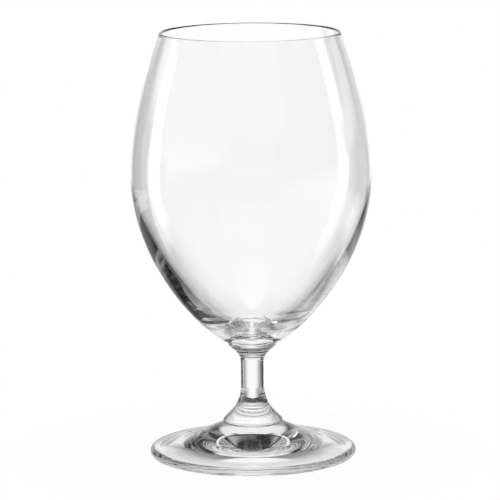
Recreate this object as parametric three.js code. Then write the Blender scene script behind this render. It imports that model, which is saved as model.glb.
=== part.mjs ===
// Stemmed water glass: a blown bowl, a solid stem and a pressed foot, made as three pieces of clear
// glass and fused end to end. Millimetres, +Z up. The origin is the centre of the foot's standing
// ring, at table level, and every piece is turned about +Z.

import * as THREE from "three";

// Foot
const FOOT_DIAMETER = 72.6;
const FOOT_HEIGHT = 11.75; // table to the face that carries the stem
const FOOT_EDGE_THICKNESS = 3.2; // the outer edge is rounded to half of this
const FOOT_EDGE_SLOPE = 4; // degrees, top face near the edge
const FOOT_NECK_SLOPE = 25; // degrees, top face beside the stem
const STANDING_RING_WIDTH = 1.8; // flat ring that touches the table
const HOLLOW_RISE = 3.2; // flat middle of the underside, above the table
const HOLLOW_FLAT_DIAMETER = 34;
const HOLLOW_EDGE_SLOPE = 11; // degrees, underside where it leaves the standing ring

// Stem
const STEM_DIAMETER = 8.4;
const SHAFT_LENGTH = 9; // straight stretch between the two flares
const STEM_BASE_DIAMETER = 21; // fused to the foot
const STEM_BASE_HEIGHT = 12.55;
const STEM_BASE_LIP = 0.25; // upright step where the flare meets the foot
const STEM_BASE_SLOPE = 43; // degrees above level where the flare leaves the lip
const STEM_TOP_DIAMETER = 17; // fused to the bowl
const STEM_TOP_HEIGHT = 6.9;
const STEM_TOP_SLOPE = 45; // degrees above level where the flare meets the bowl

// Bowl, measured from the face that sits on the stem
const BELLY_DIAMETER = 84.3;
const BELLY_HEIGHT = 59.6;
const RIM_DIAMETER = 63.3;
const RIM_ABOVE_BELLY = 50.2;
const RIM_LEAN = 19.5; // degrees that the wall leans inwards at the rim
const BASE_SLOPE = 26; // degrees above level where the bowl leaves the stem
const RIM_WALL = 0.9;
const BELLY_WALL = 1.0;
const FLOOR_THICKNESS = 3.7; // solid glass on the axis

// Curve handles, as shares of the straight distance between a curve's ends
const TIGHT = 0.19;
const GENTLE = 0.31;
const ROUND = 0.39;
const FULL = 0.42;

// Fineness of the solids
const SIDES = 64;
const LONG_CURVE_STEPS = 12;
const SHORT_CURVE_STEPS = 8;
const EDGE_STEPS = 6;

// Clear, colourless glass; each piece has its own.
const clearGlass = () =>
  new THREE.MeshStandardMaterial({
    color: 0xf4f7f6,
    roughness: 0.02,
    metalness: 0,
    transparent: true,
    opacity: 0.35,
  });

const point = (radius, height) => new THREE.Vector2(radius, height);

// Unit direction in the profile plane: 0 degrees points outwards and 90 degrees points up.
function heading(degrees) {
  const angle = THREE.MathUtils.degToRad(degrees);
  return point(Math.cos(angle), Math.sin(angle));
}

// Smooth curve that leaves start along one heading and reaches end along another.
function sweep(start, startHeading, end, endHeading, startShare = GENTLE, endShare = startShare) {
  const span = start.distanceTo(end);
  const leave = start.clone().addScaledVector(heading(startHeading), span * startShare);
  const arrive = end.clone().addScaledVector(heading(endHeading), -span * endShare);
  return new THREE.CubicBezierCurve(start, leave, arrive, end);
}

// Profile points along a chain of [curve, steps], with the ends that two curves share kept once.
function profile(...stretches) {
  return stretches.flatMap(([curve, steps], index) => curve.getPoints(steps).slice(index ? 1 : 0));
}

// Solid of revolution about +Z from a profile that starts and ends on the axis.
function turned(name, points) {
  const geometry = new THREE.LatheGeometry(points, SIDES);
  geometry.rotateX(Math.PI / 2);
  const piece = new THREE.Mesh(geometry, clearGlass());
  piece.name = name;
  return piece;
}

const line = (start, end) => [new THREE.LineCurve(start, end), 1];

// Pressed foot: a hollow underside, flat in the middle, a flat standing ring, a rounded edge and a
// top that rises to the stem.
function makeFoot() {
  const edgeRadius = FOOT_EDGE_THICKNESS / 2;
  const edgeCentre = point(FOOT_DIAMETER / 2 - edgeRadius, edgeRadius);
  const ringOuter = point(edgeCentre.x, 0);
  const ringInner = point(edgeCentre.x - STANDING_RING_WIDTH, 0);
  const hollowCentre = point(0, HOLLOW_RISE);
  const hollowEdge = point(HOLLOW_FLAT_DIAMETER / 2, HOLLOW_RISE);
  const neck = point(STEM_BASE_DIAMETER / 2, FOOT_HEIGHT);
  const edgeTop = edgeCentre.clone().addScaledVector(heading(90 - FOOT_EDGE_SLOPE), edgeRadius);

  const hollow = sweep(hollowEdge, 0, ringInner, -HOLLOW_EDGE_SLOPE, FULL, GENTLE);
  const edge = new THREE.EllipseCurve(
    edgeCentre.x,
    edgeCentre.y,
    edgeRadius,
    edgeRadius,
    -Math.PI / 2,
    THREE.MathUtils.degToRad(90 - FOOT_EDGE_SLOPE),
  );
  const top = sweep(edgeTop, 180 - FOOT_EDGE_SLOPE, neck, 180 - FOOT_NECK_SLOPE);

  return turned(
    "foot",
    profile(
      line(hollowCentre, hollowEdge),
      [hollow, SHORT_CURVE_STEPS],
      line(ringInner, ringOuter),
      [edge, EDGE_STEPS],
      [top, LONG_CURVE_STEPS],
      line(neck, point(0, FOOT_HEIGHT)),
    ),
  );
}

// Solid stem: a trumpet base, a straight shaft and a smaller flare under the bowl.
const STEM_LENGTH = STEM_BASE_HEIGHT + SHAFT_LENGTH + STEM_TOP_HEIGHT;

function makeStem() {
  const shaftRadius = STEM_DIAMETER / 2;
  const baseEdge = point(STEM_BASE_DIAMETER / 2, 0);
  const lipEdge = point(STEM_BASE_DIAMETER / 2, STEM_BASE_LIP);
  const shaftBottom = point(shaftRadius, STEM_BASE_HEIGHT);
  const shaftTop = point(shaftRadius, STEM_BASE_HEIGHT + SHAFT_LENGTH);
  const topEdge = point(STEM_TOP_DIAMETER / 2, STEM_LENGTH);

  const base = sweep(lipEdge, 180 - STEM_BASE_SLOPE, shaftBottom, 90, GENTLE, FULL);
  const top = sweep(shaftTop, 90, topEdge, STEM_TOP_SLOPE, FULL);

  return turned(
    "stem",
    profile(
      line(point(0, 0), baseEdge),
      line(baseEdge, lipEdge),
      [base, SHORT_CURVE_STEPS],
      line(shaftBottom, shaftTop),
      [top, SHORT_CURVE_STEPS],
      line(topEdge, point(0, STEM_LENGTH)),
    ),
  );
}

// Blown bowl: an egg-shaped shell with a fire-polished rim, thickening to a solid floor.
const BOWL_HEIGHT = BELLY_HEIGHT + RIM_ABOVE_BELLY;

function makeBowl() {
  const rimRadius = RIM_WALL / 2;
  const rimCentre = point(RIM_DIAMETER / 2 - rimRadius, BOWL_HEIGHT - rimRadius);
  const across = heading(RIM_LEAN).multiplyScalar(rimRadius);
  const rimOuter = rimCentre.clone().add(across);
  const rimInner = rimCentre.clone().sub(across);
  const seatEdge = point(STEM_TOP_DIAMETER / 2, 0);
  const bellyOuter = point(BELLY_DIAMETER / 2, BELLY_HEIGHT);
  const bellyInner = point(BELLY_DIAMETER / 2 - BELLY_WALL, BELLY_HEIGHT);
  const floor = point(0, FLOOR_THICKNESS);

  const outerBase = sweep(seatEdge, BASE_SLOPE, bellyOuter, 90, TIGHT, FULL);
  const outerShoulder = sweep(bellyOuter, 90, rimOuter, 90 + RIM_LEAN);
  const rim = new THREE.EllipseCurve(
    rimCentre.x,
    rimCentre.y,
    rimRadius,
    rimRadius,
    THREE.MathUtils.degToRad(RIM_LEAN),
    THREE.MathUtils.degToRad(RIM_LEAN + 180),
  );
  const innerShoulder = sweep(rimInner, -90 + RIM_LEAN, bellyInner, -90);
  const innerBase = sweep(bellyInner, -90, floor, 180, ROUND, TIGHT);

  return turned(
    "bowl",
    profile(
      line(point(0, 0), seatEdge),
      [outerBase, LONG_CURVE_STEPS],
      [outerShoulder, LONG_CURVE_STEPS],
      [rim, EDGE_STEPS],
      [innerShoulder, LONG_CURVE_STEPS],
      [innerBase, LONG_CURVE_STEPS],
    ),
  );
}

const foot = makeFoot();

const stem = makeStem();
stem.position.z = FOOT_HEIGHT;

const bowl = makeBowl();
bowl.position.z = FOOT_HEIGHT + STEM_LENGTH;

const waterGlass = new THREE.Group();
waterGlass.add(foot, stem, bowl);

export default waterGlass;
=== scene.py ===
import math

import bpy
from mathutils import Euler, Matrix, Vector, noise


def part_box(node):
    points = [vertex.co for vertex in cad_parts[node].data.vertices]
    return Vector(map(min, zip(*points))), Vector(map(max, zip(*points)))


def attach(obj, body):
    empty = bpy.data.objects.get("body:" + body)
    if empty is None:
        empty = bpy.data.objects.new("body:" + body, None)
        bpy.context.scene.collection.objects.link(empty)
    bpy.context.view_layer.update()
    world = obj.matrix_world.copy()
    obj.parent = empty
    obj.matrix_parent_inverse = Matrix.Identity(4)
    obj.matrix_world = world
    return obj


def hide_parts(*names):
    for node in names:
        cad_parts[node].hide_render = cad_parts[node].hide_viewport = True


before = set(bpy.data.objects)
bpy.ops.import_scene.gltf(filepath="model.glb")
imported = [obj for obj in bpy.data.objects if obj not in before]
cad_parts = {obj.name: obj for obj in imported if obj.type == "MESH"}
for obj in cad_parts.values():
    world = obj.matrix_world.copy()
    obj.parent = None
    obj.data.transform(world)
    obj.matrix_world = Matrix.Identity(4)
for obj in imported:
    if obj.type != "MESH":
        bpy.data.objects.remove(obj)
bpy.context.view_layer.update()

MM = 0.001

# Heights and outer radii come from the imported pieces, in metres.
foot_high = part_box("foot")[1]
stem_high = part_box("stem")[1]
bowl_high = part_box("bowl")[1]
FOOT_RADIUS = foot_high.x
FOOT_TOP = foot_high.z
BASE_RADIUS = stem_high.x
STEM_TOP = stem_high.z
BELLY_RADIUS = bowl_high.x
RIM_TOP = bowl_high.z

# The same curves as the solids, cut finer. Lengths in metres, slopes in degrees.
FOOT_EDGE_RADIUS = 1.6 * MM
FOOT_EDGE_SLOPE = 4
FOOT_NECK_SLOPE = 25
RING_WIDTH = 1.8 * MM
HOLLOW_RISE = 3.2 * MM
HOLLOW_FLAT_RADIUS = 17 * MM
HOLLOW_EDGE_SLOPE = 11
SHAFT_RADIUS = 4.2 * MM
BASE_HEIGHT = 12.55 * MM
BASE_SLOPE = 43
STEM_TOP_RADIUS = 8.5 * MM
STEM_TOP_HEIGHT = 6.9 * MM
STEM_TOP_SLOPE = 45
BELLY_HEIGHT = 59.6 * MM
RIM_RADIUS = 31.65 * MM
RIM_LEAN = 19.5
BOWL_BASE_SLOPE = 26
RIM_WALL = 0.9 * MM
BELLY_WALL = 1.0 * MM
FLOOR_THICKNESS = 3.7 * MM

# Forms that the solids leave out
BASE_ROUNDING = 0.75 * MM  # the stem's end edge on the foot
NECK_ROUNDING = 0.45 * MM  # the stem's end edge under the bowl
STREAKS_RADIUS = 22 * MM  # the bowl's inside is streaked from here inwards
BLOB_RADIUS = 6.3 * MM  # uneven swelling that the stem's end leaves in the bowl's floor
BLOB_HEIGHT = 1.6 * MM
BLOB_EDGE = 2.8 * MM

# Unevenness of hand-made glass: (height, length around, length along), in metres
EVEN = None
BLOWN = (0.05 * MM, 14 * MM, 14 * MM)  # slow waves inside the bowl
STREAKED = (0.08 * MM, 10 * MM, 2 * MM)  # streaks round the bowl's thick base
GATHERED = (0.7 * MM, 7 * MM, 7 * MM)  # makes the blob's outline wander
DRAWN = (0.035 * MM, 9 * MM, 1.6 * MM)  # rings that tools leave on the stem's flare
PRESSED = (0.02 * MM, 16 * MM, 4 * MM)  # rings on the foot
FADE_SHARE = 0.25  # of a stretch, over which its unevenness comes in at each end

# Curve handles, as shares of the straight distance between a curve's ends
TIGHT = 0.19
GENTLE = 0.31
ROUND = 0.39
FULL = 0.42

# Fineness: sides round the axis, and steps along each stretch of a profile
SIDES = 256
FLAT_STEPS = 6
RING_STEPS = 3
HOLLOW_STEPS = 40
FOOT_EDGE_STEPS = 16
FOOT_TOP_STEPS = 80
ROUNDING_STEPS = 14
BASE_STEPS = 90
SHAFT_STEPS = 8
NECK_STEPS = 48
BOWL_OUTSIDE_STEPS = 150
BOWL_INSIDE_STEPS = 300
SHOULDER_STEPS = 40
RIM_STEPS = 12
ON_AXIS = 1e-7  # metres
SHARP_ANGLE = 12  # degrees; gentler edges are shaded smooth

# Material slots of every piece
SKIN, WELD = 0, 1

WHITE = (1, 1, 1, 1)
BLACK = (0, 0, 0, 1)

# Glass
GLASS_IOR = 1.52
TINTED_GLASS = (0.994, 0.998, 0.996, 1)
TINT_SIZE = 40 * MM
SMEAR_SIZE = 18 * MM
SMEAR_DETAIL = 4
SMEAR_START = 0.5  # cloud level at which a smear begins
SMEAR_FULL = 0.8
SMEAR_ROUGHNESS = 0.03
WAVE_SIZE = 12 * MM
WAVE_HEIGHT = 0.006 * MM

# Light is painted in soft-edged zones, each over the ones before it:
# name: (azimuth, reach, half width, half depth, softness across, softness along, level)
# Azimuth is in degrees, 0 towards the camera and 90 to the right. Reach is elevation in degrees for
# the studio, and distance from the axis in millimetres for the floor.

# What the glass sees round it
STUDIO = {
    "top light": (0, 80, 180, 18, 10, 10, 0.9),
    "rear ceiling": (180, 61, 65, 20, 12, 6, 0.1),
    "front room": (0, 22, 108, 40, 10, 10, 0.36),
    "table": (0, -34, 112, 37, 14, 12, 0.95),
    "dark room, front right": (61, 5, 37, 8, 4, 5, 0.01),
    "dark room, high right": (68, 18, 30, 8, 5, 3, 0.01),
    "dark room, above right": (47, 31, 12, 7, 8, 6, 0.02),
    "dark room, front left": (-46, 33, 10, 6, 8, 6, 0.03),
    "left room": (-108, 12, 22, 7, 6, 5, 0.55),
    "dark room, right": (108, 0, 14, 12, 3, 3, 0.04),
    "camera side": (0, -8, 30, 12, 25, 12, 0.4),
    "black card, right": (118, 8, 14, 10, 2, 3, 0.04),
    "backdrop, low": (177.5, -6, 25, 10, 22, 5, 1.0),
    "backdrop, high": (180, 22, 30, 5, 4, 4, 0.45),
    "dark room, rear": (180, 33, 40, 6, 6, 3, 0.02),
    "dark room, rear left": (-165, 28, 13, 5, 4, 3, 0.02),
    "backdrop, middle": (180, 9, 30, 8, 4, 3, 0.9),
    "table behind": (178, -32, 16, 28, 12, 6, 1.0),
    "table, rear left": (-148, -20, 12, 6, 5, 4, 0.45),
    "white card, low right": (138, -25, 24, 8, 4, 3, 1.1),
    "light strip, right": (140, -10, 4, 7, 2, 3, 0.45),
    "left softbox": (-107, -15, 9, 18, 2, 3, 2.5),
}
ROOM_LEVEL = 0.02
SOFTBOX_TOP = (-107, 10, 9, 8, 2, 2, 2.0)  # hidden from rays that stay inside one wall
BEHIND = (180, -15, 34, 50, 4, 5)  # here straight-through rays see the backdrop as it is
THROUGH_LEVEL = 0.97  # elsewhere they see an even white
BOWL_CROSSING = 4  # refractions of a ray that goes through both walls of the bowl

# What rays through the glass see of the floor: painted shade and painted light, glowing at these
# levels in place of the glass's shadow and the light that it gathers
FLOOR_LIGHT = {
    "foot's shade": (0, 0, 180, 23, 1, 8, 0.2),
    "left shade": (-115, 27, 18, 4, 8, 3, 0.12),
    "rear shade": (180, 50, 80, 60, 12, 10, 0.3),
    "foot's rear shade": (180, 29, 50, 6, 10, 3, 0.12),
    "stem's shade": (180, 0, 180, 10, 1, 2, 0.05),
    "stem's shade, rear left": (-143, 16, 15, 10, 6, 3, 0.03),
    "stem's shade, rear right": (142, 14, 15, 6, 6, 3, 0.1),
    "rear light": (178, 60, 13, 48, 11, 4, 1.0),
    "front light": (2, 10, 32, 15, 6, 3, 1.0),
}
# Level of the floor's painted glow for rays through the glass, outside every zone
OPEN_FLOOR = 0.85
FLOOR_LIFT = 0.92  # brings the open floor to white for the camera
FLOOR_COLOUR = (0.2, 0.2, 0.2, 1)
FLOOR_DROP = -0.05 * MM
FLOOR_SIDES = 96
FLOOR_RADIUS = 95 * MM
FLOOR_FADE = 50 * MM  # the floor thins out into the white backdrop from here to its edge
FAR_FLOOR_REACH = (330 * MM, 440 * MM)
FAR_FLOOR_TURN = (-152, -116)  # azimuths
FAR_FLOOR_STEPS = 24

# Camera, fitted to the rim's and the foot's ellipses
SENSOR_WIDTH = 36
LENS = 239.7
CAMERA_PLACE = (-0.57 * MM, -1151.5 * MM, 271.5 * MM)
CAMERA_DIP = 9.773  # degrees that it looks down
CAMERA_ROLL = -0.46

GLASS_BOUNCES = 24
WELD_BOUNCES = 32


def heading(degrees):
    """Unit direction in the profile plane: 0 points outwards and 90 points up."""
    return Vector((math.cos(math.radians(degrees)), math.sin(math.radians(degrees))))


def sweep(start, start_heading, end, end_heading, steps, start_share=GENTLE, end_share=None):
    """Points of a smooth curve that leaves start along one heading and reaches end along another."""
    start = Vector(start)
    end = Vector(end)
    if end_share is None:
        end_share = start_share
    span = (end - start).length
    leave = start + heading(start_heading) * span * start_share
    arrive = end - heading(end_heading) * span * end_share
    points = []
    for i in range(steps + 1):
        t = i / steps
        u = 1 - t
        points.append(start * u**3 + leave * 3 * u * u * t + arrive * 3 * u * t * t + end * t**3)
    return points


def arc(centre, radius, first, last, steps):
    """Points of a circular arc between two headings."""
    turn = (last - first) / steps
    return [Vector(centre) + heading(first + turn * i) * radius for i in range(steps + 1)]


def straight(start, end, steps=1):
    """Points of a straight line."""
    return [Vector(start).lerp(Vector(end), i / steps) for i in range(steps + 1)]


def unevenness(waves, place):
    """How far the surface stands out at one place."""
    height, around, along = waves
    return height * noise.noise((place.x / around, place.y / around, place.z / along))


def lathe(name, stretches, materials):
    """Closed mesh turned about +Z. Each stretch is (points, waves, material slot)."""
    rows = []
    for points, waves, slot in stretches:
        count = len(points) - 1
        first = 1 if rows else 0
        for i in range(first, count + 1):
            fade = min(1, i / count / FADE_SHARE, (count - i) / count / FADE_SHARE)
            rows.append((points[i], waves if fade else EVEN, fade, slot))

    verts, rings = [], []
    for point, waves, fade, _ in rows:
        if point.x < ON_AXIS:
            rings.append([len(verts)])
            verts.append((0, 0, point.y))
            continue
        rings.append(range(len(verts), len(verts) + SIDES))
        for side in range(SIDES):
            turn = 2 * math.pi * side / SIDES
            across = Vector((math.sin(turn), -math.cos(turn), 0))
            place = across * point.x + Vector((0, 0, point.y))
            if waves:
                place += across * fade * unevenness(waves, place)
            verts.append(place)

    faces, slots = [], []
    for low, high, row in zip(rings, rings[1:], rows[1:]):
        for side in range(SIDES):
            after = (side + 1) % SIDES
            if len(low) == 1:
                face = (low[0], high[after], high[side])
            elif len(high) == 1:
                face = (low[side], low[after], high[0])
            else:
                face = (low[side], low[after], high[after], high[side])
            faces.append(face)
            slots.append(row[-1])

    mesh = bpy.data.meshes.new(name)
    mesh.from_pydata(verts, [], faces)
    mesh.polygons.foreach_set("material_index", slots)
    mesh.polygons.foreach_set("use_smooth", [True] * len(faces))
    mesh.set_sharp_from_angle(angle=math.radians(SHARP_ANGLE))
    for material in materials:
        mesh.materials.append(material)
    mesh.update()
    piece = bpy.data.objects.new(name, mesh)
    bpy.context.scene.collection.objects.link(piece)
    return piece


def foot_profile():
    """Hollow underside, standing ring, rounded edge and a top that rises to the stem."""
    centre = Vector((FOOT_RADIUS - FOOT_EDGE_RADIUS, FOOT_EDGE_RADIUS))
    ring_outer = (centre.x, 0)
    ring_inner = (centre.x - RING_WIDTH, 0)
    flat_edge = (HOLLOW_FLAT_RADIUS, HOLLOW_RISE)
    neck = (BASE_RADIUS, FOOT_TOP)
    seam = (BASE_RADIUS - BASE_ROUNDING, FOOT_TOP)
    edge = arc(centre, FOOT_EDGE_RADIUS, -90, 90 - FOOT_EDGE_SLOPE, FOOT_EDGE_STEPS)
    hollow = sweep(flat_edge, 0, ring_inner, -HOLLOW_EDGE_SLOPE, HOLLOW_STEPS, FULL, GENTLE)
    top = sweep(edge[-1], 180 - FOOT_EDGE_SLOPE, neck, 180 - FOOT_NECK_SLOPE, FOOT_TOP_STEPS)
    return [
        (straight((0, HOLLOW_RISE), flat_edge, FLAT_STEPS), EVEN, SKIN),
        (hollow, EVEN, SKIN),
        (straight(ring_inner, ring_outer, RING_STEPS), EVEN, SKIN),
        (edge, EVEN, SKIN),
        (top, PRESSED, SKIN),
        (straight(neck, seam), EVEN, SKIN),
        (straight(seam, (0, FOOT_TOP), FLAT_STEPS), EVEN, WELD),
    ]


def stem_profile():
    """Trumpet base, straight shaft and a smaller flare under the bowl."""
    shaft_bottom = (SHAFT_RADIUS, FOOT_TOP + BASE_HEIGHT)
    shaft_top = (SHAFT_RADIUS, STEM_TOP - STEM_TOP_HEIGHT)
    low_centre = (BASE_RADIUS - BASE_ROUNDING, FOOT_TOP + BASE_ROUNDING)
    high_centre = (STEM_TOP_RADIUS - NECK_ROUNDING, STEM_TOP - NECK_ROUNDING)
    low_edge = arc(low_centre, BASE_ROUNDING, -90, 90 - BASE_SLOPE, ROUNDING_STEPS)
    high_edge = arc(high_centre, NECK_ROUNDING, STEM_TOP_SLOPE - 90, 90, ROUNDING_STEPS)
    base = sweep(low_edge[-1], 180 - BASE_SLOPE, shaft_bottom, 90, BASE_STEPS, GENTLE, FULL)
    neck = sweep(shaft_top, 90, high_edge[0], STEM_TOP_SLOPE, NECK_STEPS, FULL)
    return [
        (straight((0, FOOT_TOP), low_edge[0], FLAT_STEPS), EVEN, WELD),
        (low_edge, EVEN, SKIN),
        (base, DRAWN, SKIN),
        (straight(shaft_bottom, shaft_top, SHAFT_STEPS), EVEN, SKIN),
        (neck, EVEN, SKIN),
        (high_edge, EVEN, SKIN),
        (straight(high_edge[-1], (0, STEM_TOP), FLAT_STEPS), EVEN, WELD),
    ]


def with_blob(points):
    """The same profile, raised near the axis."""
    raised = []
    for point in points:
        inwards = min(1, max(0, 0.5 + (BLOB_RADIUS - point.x) / BLOB_EDGE))
        rise = BLOB_HEIGHT * inwards * inwards * (3 - 2 * inwards)
        raised.append(point + Vector((0, rise)))
    return raised


def bowl_profile():
    """Egg-shaped shell with a round rim, thickening to a floor with a blob in its middle."""
    rim_radius = RIM_WALL / 2
    rim_centre = Vector((RIM_RADIUS - rim_radius, RIM_TOP - rim_radius))
    rim_outer = rim_centre + heading(RIM_LEAN) * rim_radius
    rim_inner = rim_centre - heading(RIM_LEAN) * rim_radius
    seam = (STEM_TOP_RADIUS - NECK_ROUNDING, STEM_TOP)
    seat_edge = (STEM_TOP_RADIUS, STEM_TOP)
    belly = STEM_TOP + BELLY_HEIGHT
    outer = (BELLY_RADIUS, belly)
    inner = (BELLY_RADIUS - BELLY_WALL, belly)
    floor = (0, STEM_TOP + FLOOR_THICKNESS)
    outside = sweep(seat_edge, BOWL_BASE_SLOPE, outer, 90, BOWL_OUTSIDE_STEPS, TIGHT, FULL)
    inside = with_blob(sweep(inner, -90, floor, 180, BOWL_INSIDE_STEPS, ROUND, TIGHT))
    base = next(i for i, point in enumerate(inside) if point.x < STREAKS_RADIUS)
    blob = next(i for i, point in enumerate(inside) if point.x < BLOB_RADIUS + BLOB_EDGE)
    return [
        (straight((0, STEM_TOP), seam, FLAT_STEPS), EVEN, WELD),
        (straight(seam, seat_edge), EVEN, SKIN),
        (outside, EVEN, SKIN),
        (sweep(outer, 90, rim_outer, 90 + RIM_LEAN, SHOULDER_STEPS), EVEN, SKIN),
        (arc(rim_centre, rim_radius, RIM_LEAN, RIM_LEAN + 180, RIM_STEPS), EVEN, SKIN),
        (sweep(rim_inner, RIM_LEAN - 90, inner, -90, SHOULDER_STEPS), EVEN, SKIN),
        (inside[: base + 1], BLOWN, SKIN),
        (inside[base : blob + 1], STREAKED, SKIN),
        (inside[blob:], GATHERED, SKIN),
    ]


def clear_glass(name):
    """Clear glass with faint smears, a trace of grey-green and slow waves in its skin."""
    material = bpy.data.materials.new(name)
    material.use_nodes = True
    nodes, links = material.node_tree.nodes, material.node_tree.links
    shader = nodes["Principled BSDF"]
    shader.inputs["IOR"].default_value = GLASS_IOR
    shader.inputs["Transmission Weight"].default_value = 1
    place = nodes.new("ShaderNodeTexCoord").outputs["Object"]

    def clouds(size, detail):
        made = nodes.new("ShaderNodeTexNoise")
        made.inputs["Scale"].default_value = 1 / size
        made.inputs["Detail"].default_value = detail
        links.new(place, made.inputs["Vector"])
        return made.outputs["Fac"]

    smears = nodes.new("ShaderNodeMapRange")
    links.new(clouds(SMEAR_SIZE, SMEAR_DETAIL), smears.inputs["Value"])
    smears.inputs["From Min"].default_value = SMEAR_START
    smears.inputs["From Max"].default_value = SMEAR_FULL
    smears.inputs["To Max"].default_value = SMEAR_ROUGHNESS
    links.new(smears.outputs["Result"], shader.inputs["Roughness"])

    tint = nodes.new("ShaderNodeValToRGB")
    links.new(clouds(TINT_SIZE, 1), tint.inputs["Fac"])
    tint.color_ramp.elements[0].color = WHITE
    tint.color_ramp.elements[1].color = TINTED_GLASS
    links.new(tint.outputs["Color"], shader.inputs["Base Color"])

    waves = nodes.new("ShaderNodeBump")
    waves.inputs["Strength"].default_value = 1
    waves.inputs["Distance"].default_value = WAVE_HEIGHT
    links.new(clouds(WAVE_SIZE, 0), waves.inputs["Height"])
    links.new(waves.outputs["Normal"], shader.inputs["Normal"])
    return material


def seamless(name):
    """Fused face: light goes straight on, as it does where two pieces of glass are one."""
    material = bpy.data.materials.new(name)
    material.use_nodes = True
    nodes, links = material.node_tree.nodes, material.node_tree.links
    nodes.remove(nodes["Principled BSDF"])
    through = nodes.new("ShaderNodeBsdfTransparent")
    links.new(through.outputs["BSDF"], nodes["Material Output"].inputs["Surface"])
    return material


weld = seamless("fused_face")
for node, profile in (("foot", foot_profile()), ("stem", stem_profile()), ("bowl", bowl_profile())):
    piece = lathe(node + "_glass", profile, (clear_glass("clear_" + node), weld))
    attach(piece, "root")
    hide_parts(node)


def light_maths(tree):
    """Node shorthands for one tree: plain maths, the azimuth of a vector and painted zones."""

    def calc(operation, *values):
        made = tree.nodes.new("ShaderNodeMath")
        made.operation = operation
        for socket, value in zip(made.inputs, values):
            if isinstance(value, (int, float)):
                socket.default_value = value
            else:
                tree.links.new(value, socket)
        return made.outputs[0]

    def split(vector):
        """Azimuth in degrees, and z."""
        made = tree.nodes.new("ShaderNodeSeparateXYZ")
        tree.links.new(vector, made.inputs[0])
        x, y, z = made.outputs
        return calc("DEGREES", calc("ARCTAN2", x, calc("MULTIPLY", y, -1))), z

    def window(offset, half, soft):
        """1 up to half - soft, falling smoothly to 0 at half + soft."""
        made = tree.nodes.new("ShaderNodeMapRange")
        made.interpolation_type = "SMOOTHSTEP"
        tree.links.new(calc("ABSOLUTE", offset), made.inputs["Value"])
        made.inputs["From Min"].default_value = half + soft
        made.inputs["From Max"].default_value = half - soft
        return made.outputs["Result"]

    def inside(azimuth, reach, zone):
        """1 inside a zone and 0 outside it."""
        az, out, half_width, half_depth, soft_across, soft_along = zone[:6]
        turn = calc("WRAP", calc("SUBTRACT", azimuth, az), 180, -180)
        along = window(calc("SUBTRACT", reach, out), half_depth, soft_along)
        return calc("MULTIPLY", window(turn, half_width, soft_across), along)

    def painted(azimuth, reach, zones, level):
        """The level after every zone is laid over the ones before it."""
        for zone in zones.values():
            change = calc("SUBTRACT", zone[-1], level)
            level = calc("MULTIPLY_ADD", inside(azimuth, reach, zone), change, level)
        return level

    return calc, split, inside, painted


def build_world():
    world = bpy.data.worlds.new("studio")
    bpy.context.scene.world = world
    world.use_nodes = True
    nodes, links = world.node_tree.nodes, world.node_tree.links
    nodes.clear()
    calc, split, inside, painted = light_maths(world.node_tree)
    azimuth, rise = split(nodes.new("ShaderNodeTexCoord").outputs["Generated"])
    elevation = calc("DEGREES", calc("ARCSINE", rise))

    # Depths are whole numbers, so each is compared with a value half way between two of them.
    path = nodes.new("ShaderNodeLightPath")
    refractions = path.outputs["Transmission Depth"]
    through_bowl = calc("GREATER_THAN", refractions, BOWL_CROSSING - 0.5)
    outside = calc("LESS_THAN", refractions, 0.5)
    reflected = calc("GREATER_THAN", path.outputs["Glossy Depth"], 0.5)

    level = painted(azimuth, elevation, STUDIO, ROOM_LEVEL)
    open_ray = calc("ADD", through_bowl, outside)
    top = calc("MULTIPLY", inside(azimuth, elevation, SOFTBOX_TOP), open_ray)
    level = calc("MAXIMUM", level, calc("MULTIPLY", top, SOFTBOX_TOP[-1]))

    elsewhere = calc("SUBTRACT", 1, inside(azimuth, elevation, BEHIND))
    straight_on = calc("MULTIPLY", calc("SUBTRACT", through_bowl, reflected), elsewhere)
    seen_through = calc("MULTIPLY", straight_on, THROUGH_LEVEL)
    white = calc("MAXIMUM", path.outputs["Is Camera Ray"], seen_through)
    background = nodes.new("ShaderNodeBackground")
    background.inputs["Color"].default_value = WHITE
    links.new(calc("MAXIMUM", level, white), background.inputs["Strength"])
    output = nodes.new("ShaderNodeOutputWorld")
    links.new(background.outputs[0], output.inputs["Surface"])


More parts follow.
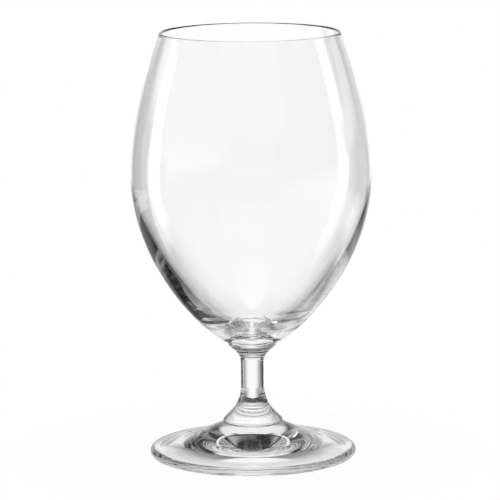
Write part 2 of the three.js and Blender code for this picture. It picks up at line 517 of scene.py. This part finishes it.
def build_floor():
    """Pale round floor that thins out at its edge, glowing with painted shade and painted light for
    every ray but the camera's.
    """
    ring = [heading(360 * i / FLOOR_SIDES) * FLOOR_RADIUS for i in range(FLOOR_SIDES)]
    mesh = bpy.data.meshes.new("floor")
    mesh.from_pydata([(p.x, p.y, 0) for p in ring], [], [range(FLOOR_SIDES)])
    floor = bpy.data.objects.new("floor", mesh)
    bpy.context.scene.collection.objects.link(floor)
    floor.location.z = FLOOR_DROP
    material = bpy.data.materials.new("white_floor")
    material.use_nodes = True
    nodes, links = material.node_tree.nodes, material.node_tree.links
    calc, split, _, painted = light_maths(material.node_tree)
    shader = nodes["Principled BSDF"]
    shader.inputs["Base Color"].default_value = FLOOR_COLOUR
    shader.inputs["Roughness"].default_value = 1
    shader.inputs["Specular IOR Level"].default_value = 0
    shader.inputs["Emission Color"].default_value = WHITE

    place = nodes.new("ShaderNodeTexCoord").outputs["Object"]
    azimuth, _ = split(place)
    distance = nodes.new("ShaderNodeVectorMath")
    distance.operation = "LENGTH"
    links.new(place, distance.inputs[0])
    out = distance.outputs["Value"]
    # Painted shade and painted light: the floor glows at the FLOOR_LIGHT levels for every ray but
    # the camera's, in place of the glass's shadow and the light it gathers
    painted_floor_light_and_shade = painted(azimuth, calc("DIVIDE", out, MM), FLOOR_LIGHT, OPEN_FLOOR)
    lift = nodes.new("ShaderNodeMix")
    links.new(nodes.new("ShaderNodeLightPath").outputs["Is Camera Ray"], lift.inputs["Factor"])
    links.new(painted_floor_light_and_shade, lift.inputs["A"])
    lift.inputs["B"].default_value = FLOOR_LIFT
    links.new(lift.outputs["Result"], shader.inputs["Emission Strength"])

    edge = nodes.new("ShaderNodeMapRange")
    edge.interpolation_type = "SMOOTHSTEP"
    links.new(out, edge.inputs["Value"])
    edge.inputs["From Min"].default_value = FLOOR_FADE
    edge.inputs["From Max"].default_value = FLOOR_RADIUS
    clear = nodes.new("ShaderNodeBsdfTransparent")
    mix = nodes.new("ShaderNodeMixShader")
    links.new(edge.outputs["Result"], mix.inputs[0])
    links.new(shader.outputs[0], mix.inputs[1])
    links.new(clear.outputs[0], mix.inputs[2])
    links.new(mix.outputs[0], nodes["Material Output"].inputs["Surface"])
    mesh.materials.append(material)


def build_far_floor():
    """White floor further off, behind and to the left, that shows through the bowl from above."""
    low, high = FAR_FLOOR_TURN
    step = (high - low) / FAR_FLOOR_STEPS
    turns = [math.radians(low + step * i) for i in range(FAR_FLOOR_STEPS + 1)]
    near, far = [[(r * math.sin(t), -r * math.cos(t), 0) for t in turns] for r in FAR_FLOOR_REACH]
    outline = near + far[::-1]
    mesh = bpy.data.meshes.new("far_floor")
    mesh.from_pydata(outline, [], [range(len(outline))])
    floor = bpy.data.objects.new("far_floor", mesh)
    bpy.context.scene.collection.objects.link(floor)
    floor.location.z = FLOOR_DROP
    material = bpy.data.materials.new("far_white")
    material.use_nodes = True
    shader = material.node_tree.nodes["Principled BSDF"]
    shader.inputs["Base Color"].default_value = BLACK
    shader.inputs["Specular IOR Level"].default_value = 0
    shader.inputs["Emission Color"].default_value = WHITE
    shader.inputs["Emission Strength"].default_value = 1
    mesh.materials.append(material)


def build_camera():
    data = bpy.data.cameras.new("camera")
    data.sensor_width = SENSOR_WIDTH
    data.lens = LENS
    camera = bpy.data.objects.new("camera", data)
    bpy.context.scene.collection.objects.link(camera)
    camera.location = CAMERA_PLACE
    look = Euler((math.radians(90 - CAMERA_DIP), 0, 0)).to_matrix()
    roll = Matrix.Rotation(math.radians(CAMERA_ROLL), 3, "Z")
    camera.rotation_euler = (look @ roll).to_euler()
    bpy.context.scene.camera = camera


build_world()
build_floor()
build_far_floor()
build_camera()

scene = bpy.context.scene
scene.view_settings.view_transform = "Standard"
scene.cycles.max_bounces = GLASS_BOUNCES
scene.cycles.transmission_bounces = GLASS_BOUNCES
scene.cycles.glossy_bounces = GLASS_BOUNCES
scene.cycles.transparent_max_bounces = WELD_BOUNCES
